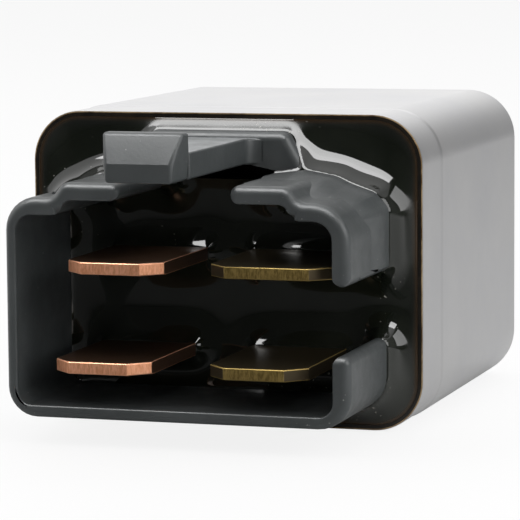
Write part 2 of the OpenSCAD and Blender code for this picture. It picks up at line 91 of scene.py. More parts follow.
# %% [markdown]
# The camera comes first, since every later choice is judged through it. It is a long lens, a
# little to the right of the connector and a little above it. It is turned round the upright
# axis, tipped down, and rolled by a hair, in that order, and then backed away from the mouth
# along its own line of sight.

# %% Camera
TURN, TIP, ROLL = math.radians(17.66), math.radians(6.58), math.radians(-0.45)
DISTANCE, ASIDE, ABOVE = 194.8, 2.202, 0.580
LENS = 210.83

camera = bpy.data.objects.new("camera", bpy.data.cameras.new("camera"))
bpy.context.scene.collection.objects.link(camera)
bpy.context.scene.camera = camera
facing = (
    Matrix.Rotation(TURN, 4, "Z")
    @ Matrix.Rotation(math.pi / 2 - TIP, 4, "X")
    @ Matrix.Rotation(ROLL, 4, "Z")
)
backed_away = Matrix.Translation(Vector((ASIDE, ABOVE, DISTANCE)) * MM)
camera.matrix_world = Matrix.Translation(MOUTH) @ facing @ backed_away
camera.data.lens = LENS
camera.data.clip_start, camera.data.clip_end = 0.01, 20
print("Camera at", tuple(round(c, 4) for c in camera.matrix_world.translation))

# %% [markdown]
# A few helpers turn a bmesh into a piece. Every piece keeps its place in its own mesh, so its
# object stays at the origin, and it rides on the body that carries it.

# %% Helpers for pieces
def finish_piece(mesh, name, body, slot, *materials):
    """Turn a bmesh into an object that rides on a body."""
    data = bpy.data.meshes.new(name)
    mesh.to_mesh(data)
    mesh.free()
    piece = bpy.data.objects.new(name, data)
    bpy.context.scene.collection.objects.link(piece)
    for material in materials:
        data.materials.append(material)
    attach(piece, body)
    print(f"{name}: {len(data.vertices)} vertices, {len(data.polygons)} faces")
    return piece


def merged_copy(node):
    """A copy of a CAD node's mesh with its loose triangles welded and its flats made whole."""
    mesh = bmesh.new()
    mesh.from_mesh(frame["nodes"][node].data)
    bmesh.ops.remove_doubles(mesh, verts=mesh.verts, dist=0.002 * MM)
    bmesh.ops.dissolve_limit(
        mesh, angle_limit=math.radians(0.5), verts=mesh.verts, edges=mesh.edges, delimit=set()
    )
    return mesh


def round_edges(mesh, edges, width, segments, clamp=True):
    """Bevel edges with a round profile; the width is in millimetres."""
    bmesh.ops.bevel(
        mesh, geom=edges, offset=width * MM, offset_type="OFFSET", segments=segments,
        profile=0.5, affect="EDGES", clamp_overlap=clamp, material=-1, loop_slide=True,
    )


def sharp_edges(mesh, degrees=30):
    return [
        e for e in mesh.edges
        if len(e.link_faces) == 2 and e.calc_face_angle(0) > math.radians(degrees)
    ]


def smooth_piece(piece, degrees=40):
    """Shade a piece smoothly, with true corners kept and flats kept flat."""
    piece.data.shade_smooth()
    piece.data.set_sharp_from_angle(angle=math.radians(degrees))
    weighted = piece.modifiers.new("flats stay flat", "WEIGHTED_NORMAL")
    weighted.keep_sharp = True


# %% [markdown]
# Materials are small node trees. Two helpers keep them readable: one makes a node and sets its
# values, the other makes a noise pattern that reads Object coordinates, so that it stays on the
# piece wherever the piece goes.

# %% Helpers for materials
class Finish:
    """A material under construction: a Principled shader and the nodes that feed it."""

    def __init__(self, name, **values):
        self.material = bpy.data.materials.new(name)
        self.material.use_nodes = True
        self.tree = self.material.node_tree
        self.shader = self.tree.nodes["Principled BSDF"]
        self.coordinates = self.tree.nodes.new("ShaderNodeTexCoord").outputs["Object"]
        for socket, value in values.items():
            self.shader.inputs[socket.replace("_", " ")].default_value = value

    def node(self, kind, settings=(), **inputs):
        made = self.tree.nodes.new(kind)
        for key, value in dict(settings).items():
            setattr(made, key, value)
        for socket, value in inputs.items():
            self.feed(made.inputs[socket.replace("_", " ")], value)
        return made

    def feed(self, socket, value):
        if isinstance(value, bpy.types.NodeSocket):
            self.tree.links.new(value, socket)
        else:
            socket.default_value = value

    def noise(self, scale, detail=2.0, roughness=0.5, stretch=(1, 1, 1)):
        mapping = self.node("ShaderNodeMapping", Vector=self.coordinates, Scale=stretch)
        made = self.node(
            "ShaderNodeTexNoise",
            Vector=mapping.outputs[0], Scale=scale, Detail=detail, Roughness=roughness,
        )
        return made.outputs["Fac"]

    def normal(self):
        source = self.node("ShaderNodeNewGeometry")
        return self.node("ShaderNodeSeparateXYZ", Vector=source.outputs["Normal"])

    def ramp(self, value, *stops):
        made = self.node("ShaderNodeValToRGB", Fac=value)
        elements = made.color_ramp.elements
        while len(elements) < len(stops):
            elements.new(0.5)
        for element, (place, colour) in zip(elements, stops):
            element.position = place
            element.color = colour if len(colour) == 4 else (*colour, 1)
        return made.outputs["Color"]

    def span(self, value, low, high, to_low=0.0, to_high=1.0):
        made = self.node("ShaderNodeMapRange")
        for place, number in enumerate((value, low, high, to_low, to_high)):
            self.feed(made.inputs[place], number)
        return made.outputs[0]

    def mix(self, share, first, second):
        made = self.node("ShaderNodeMix", {"data_type": "RGBA"})
        self.feed(made.inputs[0], share)
        self.feed(made.inputs[6], first)
        self.feed(made.inputs[7], second)
        return made.outputs[2]

    def maths(self, operation, first, second):
        made = self.node("ShaderNodeMath", {"operation": operation})
        self.feed(made.inputs[0], first)
        self.feed(made.inputs[1], second)
        return made.outputs[0]

    def bump(self, height, distance, strength=1.0):
        made = self.node("ShaderNodeBump", Height=height, Distance=distance * MM, Strength=strength)
        self.feed(self.shader.inputs["Normal"], made.outputs[0])

    def set(self, socket, value):
        self.feed(self.shader.inputs[socket], value)


def grey(level):
    return (level, level, level, 1)


# %% [markdown]
# ## The can
# The can is deep-drawn aluminium: a blank pressed through a die, tumbled to a satin grey, and
# cut off at the mouth. The cut edge is raw. A black film of resin covers it, with an amber
# stain along its outer corner. A noise that is only just visible keeps the large flats from
# looking like paint.

# %% Finish of the can
def can_finish():
    f = Finish("drawn_aluminium", Metallic=1.0)
    cloud = f.noise(140, 3, 0.55)
    grain = f.noise(6000, 2, 0.6)
    f.set("Base Color", f.ramp(cloud, (0.3, (0.60, 0.60, 0.61)), (0.7, (0.64, 0.636, 0.636))))
    f.set("Roughness", f.span(f.noise(420, 3, 0.6), 0.3, 0.7, 0.33, 0.37))
    f.bump(grain, 0.004, 0.35)
    return f.material


def edge_finish(name, low, high):
    f = Finish(name, Roughness=0.25)
    stain = f.noise(900, 3, 0.6)
    f.set("Base Color", f.ramp(stain, (0.35, low), (0.65, high)))
    f.bump(stain, 0.02, 0.4)
    return f.material


ALUMINIUM = can_finish()
STAINED = edge_finish("resin_stained_edge", (0.11, 0.06, 0.02), (0.34, 0.24, 0.13))
FILMED = edge_finish("resin_film", (0.006, 0.005, 0.004), (0.016, 0.011, 0.006))

# %% [markdown]
# The solid can has flat strips round its corners. A fresh one has enough strips to look round:
# a block, its four long edges rounded, its closed end rounded, its mouth opened, and a wall
# pressed inwards. Near the mouth the can is a little narrower, and the step is a soft ramp.
# Points that lie within a hair of a plane are taken to lie on it.

# %% The drawn can
CORNER_R, END_R, WALL = 3.3, 1.2, 0.35
BAND_DEPTH, BAND_STEP, BAND_RAMP = 4.7, 0.07, 0.5
HAIR, NEAR = 0.001 * MM, 0.01 * MM
OPENING = tuple(
    half / MM - BAND_STEP - WALL for half in (CAN_HIGH.x, (CAN_HIGH.z - CAN_LOW.z) / 2)
)
OPENING_R = CORNER_R - BAND_STEP - WALL


def rim_distance(x, z):
    """Millimetres from points to the can's inner wall; works on numbers and on grids."""
    half_w, half_h = OPENING
    dx, dz = np.abs(x) - (half_w - OPENING_R), np.abs(z) - (half_h - OPENING_R)
    corner = np.hypot(np.maximum(dx, 0), np.maximum(dz, 0)) + np.minimum(np.maximum(dx, dz), 0)
    return OPENING_R - corner


def drawn_can():
    mesh = bmesh.new()
    size = CAN_HIGH - CAN_LOW
    place = Matrix.Translation((CAN_LOW + CAN_HIGH) / 2) @ Matrix.Diagonal((*size, 1))
    bmesh.ops.create_cube(mesh, size=1, matrix=place)
    long_edges = [e for e in mesh.edges if abs((e.verts[0].co - e.verts[1].co).y) > size.y / 2]
    round_edges(mesh, long_edges, CORNER_R, 14)
    back = [e for e in mesh.edges if all(v.co.y > CAN_HIGH.y - NEAR for v in e.verts)]
    round_edges(mesh, back, END_R, 8)
    front = [f for f in mesh.faces if f.calc_center_median().y < CAN_LOW.y + NEAR]
    bmesh.ops.delete(mesh, geom=front, context="FACES")
    for share in (0, 0.25, 0.5, 0.75, 1):
        bmesh.ops.bisect_plane(
            mesh, geom=mesh.verts[:] + mesh.edges[:] + mesh.faces[:],
            plane_co=at(0, BAND_DEPTH + (share - 0.5) * BAND_RAMP, 0), plane_no=(0, 1, 0),
        )
    mesh.normal_update()
    inward = {v: v.normal.copy() for v in mesh.verts}
    for v, normal in inward.items():
        way = ((v.co.y - MOUTH.y) / MM - BAND_DEPTH) / BAND_RAMP + 0.5
        way = min(max(way, 0), 1)
        normal.y = 0
        if normal.length > 0.5:
            v.co -= normal.normalized() * BAND_STEP * MM * (1 - way * way * (3 - 2 * way))
    return mesh


def with_wall(mesh, thickness):
    """Give an open shell a wall on its inner side and close its rim."""
    bmesh.ops.recalc_face_normals(mesh, faces=mesh.faces)
    bmesh.ops.solidify(mesh, geom=mesh.faces[:], thickness=thickness * MM)
    return mesh


def beyond_wall(point):
    """Millimetres from a point to the can's inner wall, negative outside it."""
    x, _, z = (point - MOUTH) / MM
    return float(rim_distance(x, z))


LIP_R, STAIN_WIDTH, EDGE_DEPTH = 0.11, 0.14, 0.08
can_mesh = with_wall(drawn_can(), WALL)
lip = [
    e for e in can_mesh.edges
    if all(v.co.y < CAN_LOW.y + HAIR and beyond_wall(v.co) < -0.8 * WALL for v in e.verts)
]
round_edges(can_mesh, lip, LIP_R, 2)
for face in can_mesh.faces:
    centre = face.calc_center_median()
    if centre.y < CAN_LOW.y + EDGE_DEPTH * MM and abs(face.normal.y) > 0.5:
        face.material_index = 2 if beyond_wall(centre) > STAIN_WIDTH - WALL else 1
print("Edges rounded on the can's outer lip:", len(lip))
can = finish_piece(can_mesh, "can_shell", "root", "can_aluminium", ALUMINIUM, STAINED, FILMED)
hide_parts("can")
smooth_piece(can)

# %% [markdown]
# ## The connector shroud
# The shroud, its latch and the arch behind it are one moulding in glass-filled nylon. Moulded
# edges are never sharp, and here it is the rounded edges that carry the light. The wide
# rounding at the mouth is hard to give a solid, so the moulding is drawn afresh. Its plastic is
# slate grey with specks of dust, and a pale, mottled painted sheen lies on the arm's up-facing top.

# %% Finish of the shroud
# Heights that bound the painted sheen on the arm's up-facing top.
SHEEN_STARTS, SHEEN_STOPS = (0.0184, 0.0186), (0.0190, 0.0187)


def nylon_finish():
    f = Finish("slate_nylon", IOR=1.5)
    cloud = f.noise(220, 4, 0.6)
    grain = f.noise(5200, 3, 0.65)
    dust = f.span(f.noise(5200, 1, 0.4), 0.78, 0.80)
    body = f.ramp(cloud, (0.3, (0.038, 0.043, 0.044)), (0.7, (0.056, 0.062, 0.063)))
    place = f.node("ShaderNodeSeparateXYZ", Vector=f.coordinates)
    on_arm = f.span(f.normal().outputs["Z"], 0.8, 0.95)
    for heights in (SHEEN_STARTS, SHEEN_STOPS):
        on_arm = f.maths("MULTIPLY", on_arm, f.span(place.outputs["Z"], *heights))
    # Painted sheen: a mottled pale grey lightens the arm's up-facing top.
    painted_sheen = f.maths("MULTIPLY", on_arm, f.span(f.noise(520, 4, 0.7), 0.34, 0.66, 0.25, 0.8))
    body = f.mix(painted_sheen, body, (0.36, 0.375, 0.385, 1))
    f.set("Base Color", f.mix(dust, body, (0.22, 0.22, 0.21, 1)))
    f.set("Roughness", f.span(f.noise(700, 4, 0.6), 0.3, 0.7, 0.31, 0.46))
    f.bump(grain, 0.012, 0.5)
    return f.material


NYLON = nylon_finish()

# %% [markdown]
# The moulding is built from the outlines a toolmaker would cut: the two walls seen from the
# front, the arch seen from the front, the arm seen from above and the head seen from the side.
# Each outline starts as a few corners. A vertex bevel rounds each corner by its own radius, the
# face is pulled to its depth, and an edge bevel breaks the edges that the mould would break.

# %% Outlines with rounded corners
def turning(before, corner, after):
    """How far an outline turns at a corner, in radians."""
    return (corner - before).angle(after - corner)


def rounded_outline(corners, place):
    """A mesh of one face. Each corner is (across, up, radius); place puts it in the relay."""
    mesh = bmesh.new()
    verts = [mesh.verts.new(place(u, v)) for u, v, _ in corners]
    mesh.faces.new(verts)
    count = len(corners)
    cuts = [
        radius * math.tan(turning(verts[i - 1].co, verts[i].co, verts[(i + 1) % count].co) / 2)
        for i, (_, _, radius) in enumerate(corners)
    ]
    for vert, cut in zip(verts, cuts):
        if cut > 0:
            bmesh.ops.bevel(
                mesh, geom=[vert], offset=cut * MM, offset_type="OFFSET", segments=8,
                profile=0.5, affect="VERTICES", clamp_overlap=False, material=-1,
            )
    return mesh


def pull(mesh, along):
    """Give a one-face mesh its depth, along a vector in millimetres."""
    grown = bmesh.ops.extrude_face_region(mesh, geom=mesh.faces[:])["geom"]
    moved = [g for g in grown if isinstance(g, bmesh.types.BMVert)]
    bmesh.ops.translate(mesh, verts=moved, vec=Vector(along) * MM)
    bmesh.ops.recalc_face_normals(mesh, faces=mesh.faces)
    return mesh


def from_front(y):
    return lambda x, z: at(x, y, z)


def from_above(z):
    return lambda x, y: at(x, y, z)


def from_side(x):
    return lambda y, z: at(x, y, z)


# %% Sizes of the moulding
MOUTH_Y, BURIED = -10.1, 1.2
LEFT, RIGHT, FLOOR, FLANK, CROWN = -11.1, 11.1, -8.4, 5.35, 6.3
IN_LEFT, IN_RIGHT, IN_FLOOR = -10.35, 10.0, -7.6
ROOF = 1.1
GAP = 3.55
STEP_TOP, STEP_FOOT, IN_STEP_TOP, IN_STEP_FOOT = 7.25, 7.95, 7.0, 7.6
SLOT_LOW, SLOT_HIGH = -3.85, 0.3
ARM_LOW, ARM_TOP, ARM_HALF = 6.9, 8.55, 2.1
ARCH_Y, ARCH_TOP, TUNNEL_HALF = -1.6, 8.95, 2.95
ARM_END, ROOT_HALF, ROOT_BACK = -13.0, 3.2, 0.8
TIP_Y = -16.3
FOOT_START, FOOT_LENGTH, FOOT_DEPTH = -7.6, 3.4, 0.8
WALL_ROUND, INNER_ROUND, ARCH_ROUND, ARM_ROUND, HEAD_ROUND = 0.56, 0.14, 0.6, 0.16, 0.22


def roof_corners(side):
    """The stepped top wall from the gap to the flank, outside and inside."""
    outside = [
        (side * GAP, CROWN, 0), (side * STEP_TOP, CROWN, 0.8), (side * STEP_FOOT, FLANK, 0.7),
    ]
    inside = [
        (side * IN_STEP_FOOT, FLANK - ROOF, 0.7), (side * IN_STEP_TOP, CROWN - ROOF, 0.6),
        (side * GAP, CROWN - ROOF, 0),
    ]
    return outside, inside


def left_wall():
    outside, inside = roof_corners(-1)
    return outside + [
        (LEFT, FLANK, 2.1), (LEFT, FLOOR, 1.9), (RIGHT, FLOOR, 2.1), (RIGHT, SLOT_LOW, 0),
        (IN_RIGHT, SLOT_LOW, 0), (IN_RIGHT, IN_FLOOR, 0.9), (IN_LEFT, IN_FLOOR, 0.9),
        (IN_LEFT, FLANK - ROOF, 1.0),
    ] + inside


def right_wall():
    outside, inside = roof_corners(1)
    return outside + [
        (RIGHT, FLANK, 2.4), (RIGHT, SLOT_HIGH, 0), (IN_RIGHT, SLOT_HIGH, 0),
        (IN_RIGHT, FLANK - ROOF, 1.2),
    ] + inside


# %% Walls of the shroud
def in_cavity(point):
    x, _, z = (point - MOUTH) / MM
    roof = CROWN - ROOF if abs(x) < 7.3 else FLANK - ROOF
    return IN_LEFT - 0.1 < x < IN_RIGHT + 0.1 and IN_FLOOR - 0.1 < z < roof + 0.1


def middle(edge):
    return (edge.verts[0].co + edge.verts[1].co) / 2


def front_edges(mesh, y):
    return [e for e in mesh.edges if all(abs(v.co.y - at(0, y, 0).y) < HAIR for v in e.verts)]


def wall(corners):
    mesh = pull(rounded_outline(corners, from_front(MOUTH_Y)), (0, -MOUTH_Y + BURIED, 0))
    rims = front_edges(mesh, MOUTH_Y)
    outer = [e for e in rims if not in_cavity(middle(e))]
    ends = [
        e for e in mesh.edges
        if e not in rims and len(e.link_faces) == 2 and e.calc_face_angle(0) > math.radians(60)
        and middle(e).y < at(0, -1, 0).y
    ]
    print("Edges of a shroud wall rounded outside:", len(outer) + len(ends))
    round_edges(mesh, outer + ends, WALL_ROUND, 6, clamp=False)
    inner = [
        e for e in front_edges(mesh, MOUTH_Y)
        if in_cavity(middle(e)) and e.calc_face_angle(0) > 1
    ]
    round_edges(mesh, inner, INNER_ROUND, 5, clamp=False)
    return mesh


# %% Arch, arm and head
def arch():
    side = [(6.6, 6.45, 0), (5.95, 6.45, 0.5), (4.55, ARCH_TOP, 0.7)]
    foot = [(TUNNEL_HALF, ARM_LOW, 1.0), (TUNNEL_HALF, 5.5, 0), (6.6, 5.5, 0)]
    mirrored = [(-x, z, r) for x, z, r in reversed(side)]
    mesh = pull(
        rounded_outline(
            side + mirrored + [(-x, z, r) for x, z, r in reversed(foot)] + foot, from_front(ARCH_Y)
        ),
        (0, -ARCH_Y + BURIED, 0),
    )
    rims = front_edges(mesh, ARCH_Y)
    outer = [
        e for e in rims
        if middle(e).z > at(0, 0, ARM_LOW + 0.1).z or abs(middle(e).x) > ROOT_HALF * MM
    ]
    round_edges(mesh, outer, ARCH_ROUND, 6, clamp=False)
    return mesh


def arm():
    half = [
        (ARM_HALF, ARM_END, 0), (ARM_HALF, ARCH_Y, 0.9), (ROOT_HALF, ARCH_Y, 0),
        (ROOT_HALF, ROOT_BACK, 0),
    ]
    outline = half + [(-x, y, r) for x, y, r in reversed(half)]
    mesh = pull(rounded_outline(outline, from_above(ARM_LOW)), (0, 0, ARM_TOP - ARM_LOW))
    free = [e for e in sharp_edges(mesh) if middle(e).y < at(0, ARCH_Y + 0.3, 0).y]
    round_edges(mesh, free, ARM_ROUND, 5, clamp=False)
    return mesh


def head():
    nose, top, flare = 8.05, 9.85, 0.45
    side = [
        (TIP_Y, ARM_LOW, 0), (TIP_Y, nose, 0), (TIP_Y + 0.5, 9.0, 0), (TIP_Y + 1.0, top, 0.4),
        (TIP_Y + 1.95, top, 0.4), (TIP_Y + 2.9, ARM_TOP, 0), (TIP_Y + 2.9, ARM_LOW, 0),
    ]
    mesh = pull(rounded_outline(side, from_side(-ARM_HALF)), (2 * ARM_HALF, 0, 0))
    for v in mesh.verts:
        rise = ((v.co - MOUTH).z / MM - nose) / (top - nose)
        v.co.x += math.copysign(max(rise, 0) * flare * MM, v.co.x)
    round_edges(mesh, sharp_edges(mesh), HEAD_ROUND, 5, clamp=False)
    return mesh


def foot(side, corners):
    """The roof swells towards the resin: an outline starts inside the wall and grows out of it."""
    outline = [(side * x, z, r) for x, z, r in corners]
    mesh = rounded_outline(outline, from_front(FOOT_START))
    loop = mesh.verts[:]
    pull(mesh, (0, FOOT_LENGTH, 0))
    mesh.normal_update()
    outward = {
        v: sum((f.normal for f in v.link_faces if abs(f.normal.y) < 0.5), Vector()) for v in loop
    }
    for v, normal in outward.items():
        if normal.dot(v.co - MOUTH) > 0:
            v.co -= normal.normalized() * FOOT_DEPTH * MM
    back = [f for f in mesh.faces if all(v not in outward for v in f.verts)]
    grown = bmesh.ops.extrude_face_region(mesh, geom=back)["geom"]
    moved = [g for g in grown if isinstance(g, bmesh.types.BMVert)]
    bmesh.ops.translate(mesh, verts=moved, vec=(0, (BURIED - FOOT_START - FOOT_LENGTH) * MM, 0))
    bmesh.ops.delete(mesh, geom=back, context="FACES_ONLY")
    bmesh.ops.recalc_face_normals(mesh, faces=mesh.faces)
    return mesh


RIGHT_FOOT = [
    (3.7, 5.4, 0), (3.7, 6.36, 0.2), (6.0, 6.62, 1.5), (7.9, 6.28, 1.5), (8.9, 5.8, 1.5),
    (10.45, 5.3, 0.9), (11.3, 4.3, 0.8), (11.3, 0.6, 0.2), (10.2, 0.6, 0), (10.2, 4.4, 0.5),
    (7.6, 4.9, 0),
]
LEFT_FOOT = [
    (3.7, 5.4, 0), (3.7, 6.36, 0.2), (6.0, 6.55, 1.5), (7.9, 6.1, 1.5), (9.0, 5.6, 1.0),
    (9.6, 4.8, 0.3), (7.6, 4.9, 0),
]


def joined(*shells):
    """Several closed shells as one mesh."""
    whole = bmesh.new()
    for shell in shells:
        data = bpy.data.meshes.new("shell")
        shell.to_mesh(data)
        shell.free()
        whole.from_mesh(data)
        bpy.data.meshes.remove(data)
    return whole


shroud = finish_piece(
    joined(
        wall(left_wall()), wall(right_wall()), arch(), arm(), head(),
        foot(1, RIGHT_FOOT), foot(-1, LEFT_FOOT),
    ),
    "shroud_moulding", "root", "shroud_nylon", NYLON,
)
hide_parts("connector_shroud")
smooth_piece(shroud, 24)

# %% [markdown]
# ## Blades
# The load blades are copper and the coil blades brass. They are stamped from rolled strip. The
# bevels at the front carry a painted highlight, the sheared front is rough and mottled, the rolled
# flats are darker with a bloom, and painted shade makes the sides darkest. The direction of a face
# tells which it is.

# %% Finish of the blades
def rolled_finish(name, edge, sheared, flat, frontal):
    """Painted highlight on the bevels, a rough sheared tip, dark rolled flats and painted shade on
    the sides, told apart by the normal.
    """
    f = Finish(name, Metallic=0.85)
    normal = f.normal()
    upward = f.maths("ABSOLUTE", normal.outputs["Z"], 0.0)
    # Bevels, found by their slight tilt, get a painted highlight.
    on_flat, bevel_highlight_mask = f.span(upward, 0.90, 0.97), f.span(upward, 0.10, 0.35)
    forward = f.maths("ABSOLUTE", normal.outputs["Y"], 0.0)
    # Faces that turn sideways get painted shade.
    side_shade_mask = f.span(forward, frontal + 0.1, frontal - 0.1)
    on_flat = f.maths("MAXIMUM", on_flat, f.maths("SUBTRACT", side_shade_mask, bevel_highlight_mask))
    shear = f.noise(9000, 3, 0.7, stretch=(1, 1, 0.25))
    bloom = f.noise(500, 4, 0.6)
    tip = f.mix(f.span(shear, 0.35, 0.62), (*sheared, 1), (*edge, 1))
    # Painted highlight: the bevels take the bright edge colour.
    tip_and_painted_highlight = f.mix(bevel_highlight_mask, tip, (*edge, 1))
    dark = f.mix(f.span(bloom, 0.4, 0.75), (*flat, 1), (*(c * 0.5 for c in flat), 1))
    # Painted shade: the sides drop to 0.15 of the flat colour.
    dark = f.mix(side_shade_mask, dark, (*(c * 0.15 for c in flat), 1))
    f.set("Base Color", f.mix(on_flat, tip_and_painted_highlight, dark))
    f.set("Roughness", f.mix(on_flat, grey(0.5), grey(0.33)))
    f.bump(shear, 0.01, 0.3)
    return f.material


# For each metal, edge is the colour of the painted highlight on the bevels.
COPPER = rolled_finish(
    "rolled_copper", edge=(1.0, 0.52, 0.32), sheared=(0.76, 0.32, 0.16),
    flat=(0.95, 0.52, 0.32), frontal=0.55,
)
# Painted shade: the brass bevel and sheared-tip colours are darkened far below bare brass to stand
# for the shade on the upper blade, and frontal 0.85 puts painted shade on its chamfers.
BRASS = rolled_finish(
    "rolled_brass", edge=(0.35, 0.25, 0.082), sheared=(0.14, 0.095, 0.025),
    flat=(0.62, 0.48, 0.28), frontal=0.85,
)

# %% Blades
BLADES = {
    "load_terminal_lower": COPPER,
    "load_terminal_upper": COPPER,
    "coil_terminal_lower": BRASS,
    "coil_terminal_upper": BRASS,
}
for node, material in BLADES.items():
    blade_mesh = merged_copy(node)
    round_edges(blade_mesh, sharp_edges(blade_mesh, 18), 0.05, 2)
    blade = finish_piece(
        blade_mesh, node.replace("terminal", "blade"), "root",
        "copper" if material is COPPER else "brass", material,
    )
    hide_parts(node)
    smooth_piece(blade, 30)

# %% [markdown]
# ## The potting resin
# The resin is poured as a liquid and cures where it lies, so its surface is almost a mirror and
# climbs every wall it touches. Next to the can it is duller and faintly amber. To find the
# walls that it wets, the shroud and the blades are sliced at the resin's level and the slices
# are sampled.

# %% Finish of the resin
def resin_finish():
    f = Finish("black_potting", IOR=1.55)
    attribute = f.node("ShaderNodeAttribute", {"attribute_name": "rim"}).outputs["Fac"]
    cluster = f.span(f.noise(170, 1, 0.5), 0.55, 0.68)
    dust = f.maths("MULTIPLY", f.span(f.noise(4200, 1, 0.3), 0.74, 0.76), cluster)
    cloud = f.noise(120, 4, 0.7)
    body = f.ramp(cloud, (0.45, (0.006, 0.0075, 0.005)), (0.75, (0.016, 0.018, 0.014)))
    amber = f.mix(f.span(attribute, 0.6, 1.0), body, (0.040, 0.020, 0.006, 1))
    f.set("Base Color", f.mix(dust, amber, (0.30, 0.29, 0.26, 1)))
    beside, dusty = f.span(attribute, 0.0, 0.6, 0.05, 0.26), f.span(dust, 0.0, 1.0, 0.05, 0.5)
    f.set("Roughness", f.maths("MAXIMUM", beside, dusty))
    f.bump(f.noise(260, 2, 0.5), 0.015, 0.5)
    return f.material


RESIN = resin_finish()

# %% Walls that the resin wets
RESIN_LEVEL = 0.3


def slice_points(pieces, spacing=0.05):
    """Points along the outlines where pieces cross the resin's level."""
    points = []
    for piece in pieces:
        mesh = bmesh.new()
        mesh.from_mesh(piece.data)
        cut = bmesh.ops.bisect_plane(
            mesh, geom=mesh.verts[:] + mesh.edges[:] + mesh.faces[:],
            plane_co=at(0, RESIN_LEVEL, 0), plane_no=(0, 1, 0),
        )["geom_cut"]
        for edge in (g for g in cut if isinstance(g, bmesh.types.BMEdge)):
            a, b = (v.co.copy() for v in edge.verts)
            steps = max(1, math.ceil((b - a).length / (spacing * MM)))
            points += [a.lerp(b, step / steps) for step in range(steps)]
        mesh.free()
    return points


wetted = {
    "shroud": slice_points([shroud]),
    "blades": slice_points([bpy.data.objects[n.replace("terminal", "blade")] for n in BLADES]),
}
print("Sliced:", {name: len(points) for name, points in wetted.items()})

# %% [markdown]
# A liquid surface between walls obeys a simple rule: each point lies at the mean height of its
# neighbours, pulled a little back to the level. Solving that rule on a square grid, with the
# walls held at the height to which the resin climbs, gives fillets that fill the corners as the
# real ones do. A short reach makes the steep foot at a wall and a long reach the broad swell,
# so the surface is one part of the first and nine of the second.

# %% The height to which the resin climbs
CELL = 0.1
RIM_CLIMB, BLADE_CLIMB, INNER_CLIMB, ARCH_CLIMB, OUTER_CLIMB = 0.27, 0.9, 0.9, 0.95, 2.1


def grid_place(x, z):
    return (z + OPENING[1]) / CELL, (x + OPENING[0]) / CELL


def held_points():
    """The grid with the wetted walls marked and their heights filled in."""
    rows, cols = (int(round(2 * half / CELL)) + 1 for half in reversed(OPENING))
    xs = np.arange(cols) * CELL - OPENING[0]
    zs = np.arange(rows) * CELL - OPENING[1]
    grid_x, grid_z = np.meshgrid(xs, zs)
    held = rim_distance(grid_x, grid_z) < 0.08
    share = np.where(held, RIM_CLIMB, 0.0)
    for name, points in wetted.items():
        for point in points:
            x, _, z = (point - MOUTH) / MM
            row, col = (int(round(c)) for c in grid_place(x, z))
            if 0 <= row < rows and 0 <= col < cols:
                climb = BLADE_CLIMB if name == "blades" else shroud_climb(point)
                held[row, col], share[row, col] = True, climb
    return held, share


def shroud_climb(point):
    """The resin stands highest on the shroud's outer walls and low under the arch."""
    x, _, z = (point - MOUTH) / MM
    in_tunnel = abs(x) < TUNNEL_HALF + 0.05 and z < ARM_LOW + 0.05
    if in_cavity(point) or in_tunnel:
        return INNER_CLIMB
    share = min(max((z - CROWN - 0.1) / (ARCH_TOP - CROWN - 0.3), 0), 1)
    return OUTER_CLIMB + (ARCH_CLIMB - OUTER_CLIMB) * share * share * (3 - 2 * share)


def neighbours(level):
    """The sum of the four neighbours of each grid point."""
    padded = np.pad(level, 1, mode="edge")
    return padded[:-2, 1:-1] + padded[2:, 1:-1] + padded[1:-1, :-2] + padded[1:-1, 2:]


def settle(held, share, reach, rounds):
    """Relax the surface until it lies still between the held points."""
    k = (reach / CELL) ** 2
    level = share.copy()
    for _ in range(rounds):
        level = np.where(held, share, k * neighbours(level) / (1 + 4 * k))
    return level


STEEP, BROAD, BLURS = (0.1, 0.35, 150), (0.9, 1.15, 1000), 3
held, share = held_points()
climbed = sum(part * settle(held, share, *how) for part, *how in (STEEP, BROAD))
for _ in range(BLURS):
    climbed = neighbours(climbed) / 8 + climbed / 2
print(f"Resin climbs {climbed.min():.2f} to {climbed.max():.2f} mm over {held.sum()} held points")

# %% The resin's surface
def resin_grid():
    """A flat grid over the mouth, trimmed to its rounded corners by tangent planes."""
    mesh = bmesh.new()
    half_w, half_h = OPENING
    place = Matrix.Translation(at(0, RESIN_LEVEL, 0)) @ Matrix.Rotation(math.pi / 2, 4, "X")
    bmesh.ops.create_grid(
        mesh, x_segments=round(2 * half_w / CELL), y_segments=round(2 * half_h / CELL), size=1,
        matrix=place @ Matrix.Diagonal((half_w * MM, half_h * MM, 1, 1)),
    )
    for side in (-1, 1):
        for level in (-1, 1):
            centre = at(side * (half_w - OPENING_R), RESIN_LEVEL, level * (half_h - OPENING_R))
            for step in range(1, 10):
                angle = math.radians(9 * step)
                out = Vector((side * math.cos(angle), 0, level * math.sin(angle)))
                bmesh.ops.bisect_plane(
                    mesh, geom=mesh.verts[:] + mesh.edges[:] + mesh.faces[:],
                    plane_co=centre + out * OPENING_R * MM, plane_no=out, clear_outer=True,
                )
    return mesh


def height_at(x, z):
    """The settled height at a point, between the four grid points round it."""
    row, col = grid_place(x, z)
    row = min(max(row, 0), climbed.shape[0] - 1.001)
    col = min(max(col, 0), climbed.shape[1] - 1.001)
    r, c = int(row), int(col)
    a, b = row - r, col - c
    low = climbed[r, c] * (1 - b) + climbed[r, c + 1] * b
    high = climbed[r + 1, c] * (1 - b) + climbed[r + 1, c + 1] * b
    return low * (1 - a) + high * a


